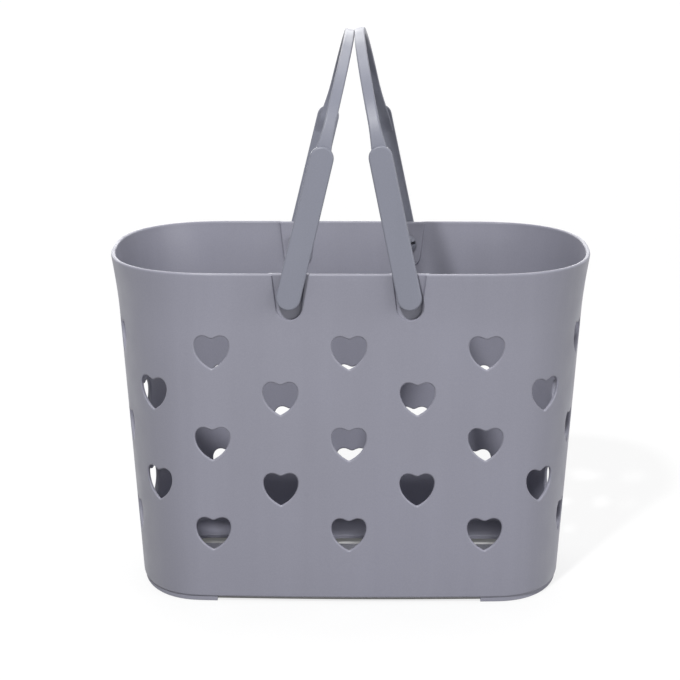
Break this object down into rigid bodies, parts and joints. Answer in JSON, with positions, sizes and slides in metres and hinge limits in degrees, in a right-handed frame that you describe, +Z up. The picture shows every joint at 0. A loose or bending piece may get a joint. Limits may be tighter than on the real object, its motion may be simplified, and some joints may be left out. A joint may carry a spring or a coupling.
{
  "type": "shower basket",
  "caption": "Tapered moulded shower basket with staggered heart-shaped openings, crescent feet and a pair of arched carrying handles that fold down over the ends.",
  "frame": {"origin": "on the surface the basket stands on, below the middle of the basket", "axes": "+Z up, +X to the right along the basket's length, the long walls facing -Y and +Y"},
  "size_m": [0.2464, 0.1668, 0.2828],
  "materials": {
    "plastic_body": "satin moulded polypropylene, grey with a faint violet cast",
    "plastic_handle": "satin moulded polypropylene, grey with a faint violet cast"
  },
  "bodies": {
    "basket": {"basket_body": "plastic_body"},
    "left_handle": {"left_handle": "plastic_handle"},
    "right_handle": {"right_handle": "plastic_handle"}
  },
  "joints": [
    {"name": "left_handle_fold", "type": "hinge", "parent": "basket", "child": "left_handle", "pos_m": [-0.0297, 0, 0.1586], "axis": [0, -1, 0], "range_deg": [0, 147]},
    {"name": "right_handle_fold", "type": "hinge", "parent": "basket", "child": "right_handle", "pos_m": [0.0297, 0, 0.1586], "axis": [0, 1, 0], "range_deg": [0, 145]}
  ]
}
